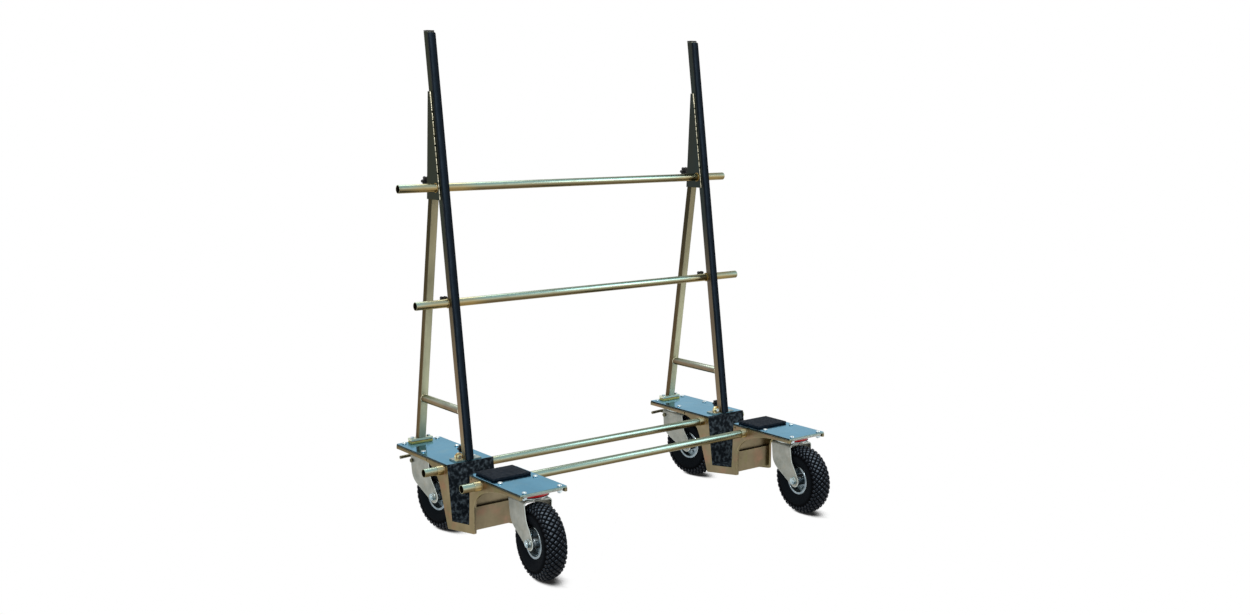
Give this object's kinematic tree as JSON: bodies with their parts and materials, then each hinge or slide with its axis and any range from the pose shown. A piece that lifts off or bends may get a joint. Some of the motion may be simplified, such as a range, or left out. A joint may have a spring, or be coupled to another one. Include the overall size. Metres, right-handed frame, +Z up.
{
  "type": "glass cart",
  "caption": "Wheeled cart for carrying glass panes upright: end units with rubber-lined troughs and leaning masts, joined by clamped tubes on swivel castors.",
  "frame": {"origin": "on the floor under the middle of the whole cart", "axes": "+X along the joining tubes, -Y towards the side where the glass leans, +Z up"},
  "size_m": [1.531, 0.9993, 1.815],
  "materials": {
    "deck_zinc": "bright bluish zinc plating, smooth",
    "gold_plate": "yellow passivated zinc, satin",
    "gold_bright": "yellow passivated zinc, bright",
    "mast_gold": "yellow passivated zinc, satin",
    "tube_zinc": "pale yellow zinc, bright",
    "fork_zinc": "clear zinc plating, satin",
    "rim_zinc": "clear zinc plating, satin",
    "bright_zinc": "bright zinc plating",
    "pedal_steel": "dark olive zinc",
    "black_rubber": "matt, mottled",
    "tyre": "matt black, block tread",
    "black_plastic": "moulded, satin",
    "red_seal": "moulded, satin"
  },
  "bodies": {
    "left_unit": {"top_tube": "tube_zinc", "middle_tube": "tube_zinc", "lower_rear_tube": "tube_zinc", "lower_front_tube": "tube_zinc", "left_side_plates": "gold_plate", "left_rear_deck": "deck_zinc", "left_front_deck": "deck_zinc", "left_trough": "gold_plate", "left_trough_liner": "black_rubber", "left_deck_pad": "black_rubber", "left_tube_sleeves": "gold_bright", "left_fasteners": "bright_zinc", "left_castor_plates": "fork_zinc", "left_swivel_seals": "red_seal", "left_front_leg": "mast_gold", "left_rear_leg": "mast_gold", "left_mast_braces": "mast_gold", "left_leg_facing": "black_rubber", "left_mast_feet": "gold_bright", "left_leg_cap": "black_plastic"},
    "right_unit": {"right_side_plates": "gold_plate", "right_rear_deck": "deck_zinc", "right_front_deck": "deck_zinc", "right_trough": "gold_plate", "right_trough_liner": "black_rubber", "right_deck_pad": "black_rubber", "right_tube_sleeves": "gold_bright", "right_fasteners": "bright_zinc", "right_castor_plates": "fork_zinc", "right_swivel_seals": "red_seal", "right_front_leg": "mast_gold", "right_rear_leg": "mast_gold", "right_mast_braces": "mast_gold", "right_leg_facing": "black_rubber", "right_mast_feet": "gold_bright", "right_leg_cap": "black_plastic"},
    "left_front_castor": {"left_front_fork": "fork_zinc", "left_front_axle": "bright_zinc"},
    "left_front_wheel": {"left_front_rim": "rim_zinc", "left_front_tyre": "tyre"},
    "left_rear_castor": {"left_rear_fork": "fork_zinc", "left_rear_axle": "bright_zinc"},
    "left_rear_wheel": {"left_rear_rim": "rim_zinc", "left_rear_tyre": "tyre"},
    "left_brake": {"left_brake_pedal": "pedal_steel"},
    "left_top_clamp": {"left_top_knob": "black_plastic"},
    "left_middle_clamp": {"left_middle_knob": "black_plastic"},
    "left_foot_clamp": {"left_foot_knob": "black_plastic"},
    "right_front_castor": {"right_front_fork": "fork_zinc", "right_front_axle": "bright_zinc"},
    "right_front_wheel": {"right_front_rim": "rim_zinc", "right_front_tyre": "tyre"},
    "right_rear_castor": {"right_rear_fork": "fork_zinc", "right_rear_axle": "bright_zinc"},
    "right_rear_wheel": {"right_rear_rim": "rim_zinc", "right_rear_tyre": "tyre"},
    "right_brake": {"right_brake_pedal": "pedal_steel"},
    "right_top_clamp": {"right_top_knob": "black_plastic"},
    "right_middle_clamp": {"right_middle_knob": "black_plastic"},
    "right_foot_clamp": {"right_foot_knob": "black_plastic"}
  },
  "joints": [
    {"name": "right_unit_slide", "type": "slide", "parent": "left_unit", "child": "right_unit", "axis": [1, 0, 0], "range_m": [-0.75, 0.02]},
    {"name": "left_front_swivel", "type": "hinge", "parent": "left_unit", "child": "left_front_castor", "pos_m": [-0.5955, -0.29734, 0.268], "axis": [0, 0, 1], "continuous": true},
    {"name": "left_front_roll", "type": "hinge", "parent": "left_front_castor", "child": "left_front_wheel", "pos_m": [-0.60186, -0.37007, 0.13], "axis": [0.9962, -0.0872, 0], "continuous": true},
    {"name": "left_rear_swivel", "type": "hinge", "parent": "left_unit", "child": "left_rear_castor", "pos_m": [-0.5955, 0.37166, 0.268], "axis": [0, 0, 1], "continuous": true},
    {"name": "left_rear_roll", "type": "hinge", "parent": "left_rear_castor", "child": "left_rear_wheel", "pos_m": [-0.5866, 0.2992, 0.13], "axis": [0.9925, 0.1219, 0], "continuous": true},
    {"name": "left_brake_press", "type": "hinge", "parent": "left_rear_castor", "child": "left_brake", "pos_m": [-0.60098, 0.41632, 0.246], "axis": [-0.9925, -0.1219, 0], "range_deg": [0, 22]},
    {"name": "left_top_knob_turn", "type": "hinge", "parent": "left_unit", "child": "left_top_clamp", "pos_m": [-0.5955, 0.256, 1.265], "axis": [0, 0.9848, 0.1736], "range_deg": [0, 540]},
    {"name": "left_middle_knob_turn", "type": "hinge", "parent": "left_unit", "child": "left_middle_clamp", "pos_m": [-0.5955, 0.1988, 0.858], "axis": [0, 1, 0], "range_deg": [0, 540]},
    {"name": "left_foot_knob_turn", "type": "hinge", "parent": "left_unit", "child": "left_foot_clamp", "pos_m": [-0.5955, 0.12144, 0.336], "axis": [0, 1, 0], "range_deg": [0, 540]},
    {"name": "right_front_swivel", "type": "hinge", "parent": "right_unit", "child": "right_front_castor", "pos_m": [0.6195, -0.29734, 0.268], "axis": [0, 0, 1], "continuous": true},
    {"name": "right_front_roll", "type": "hinge", "parent": "right_front_castor", "child": "right_front_wheel", "pos_m": [0.61314, -0.37007, 0.13], "axis": [0.9962, -0.0872, 0], "continuous": true},
    {"name": "right_rear_swivel", "type": "hinge", "parent": "right_unit", "child": "right_rear_castor", "pos_m": [0.6195, 0.37166, 0.268], "axis": [0, 0, 1], "continuous": true},
    {"name": "right_rear_roll", "type": "hinge", "parent": "right_rear_castor", "child": "right_rear_wheel", "pos_m": [0.6284, 0.2992, 0.13], "axis": [0.9925, 0.1219, 0], "continuous": true},
    {"name": "right_brake_press", "type": "hinge", "parent": "right_rear_castor", "child": "right_brake", "pos_m": [0.61402, 0.41632, 0.246], "axis": [-0.9925, -0.1219, 0], "range_deg": [0, 22]},
    {"name": "right_top_knob_turn", "type": "hinge", "parent": "right_unit", "child": "right_top_clamp", "pos_m": [0.6195, 0.256, 1.265], "axis": [0, 0.9848, 0.1736], "range_deg": [0, 540]},
    {"name": "right_middle_knob_turn", "type": "hinge", "parent": "right_unit", "child": "right_middle_clamp", "pos_m": [0.6195, 0.1988, 0.858], "axis": [0, 1, 0], "range_deg": [0, 540]},
    {"name": "right_foot_knob_turn", "type": "hinge", "parent": "right_unit", "child": "right_foot_clamp", "pos_m": [0.6195, 0.12144, 0.336], "axis": [0, 1, 0], "range_deg": [0, 540]}
  ]
}
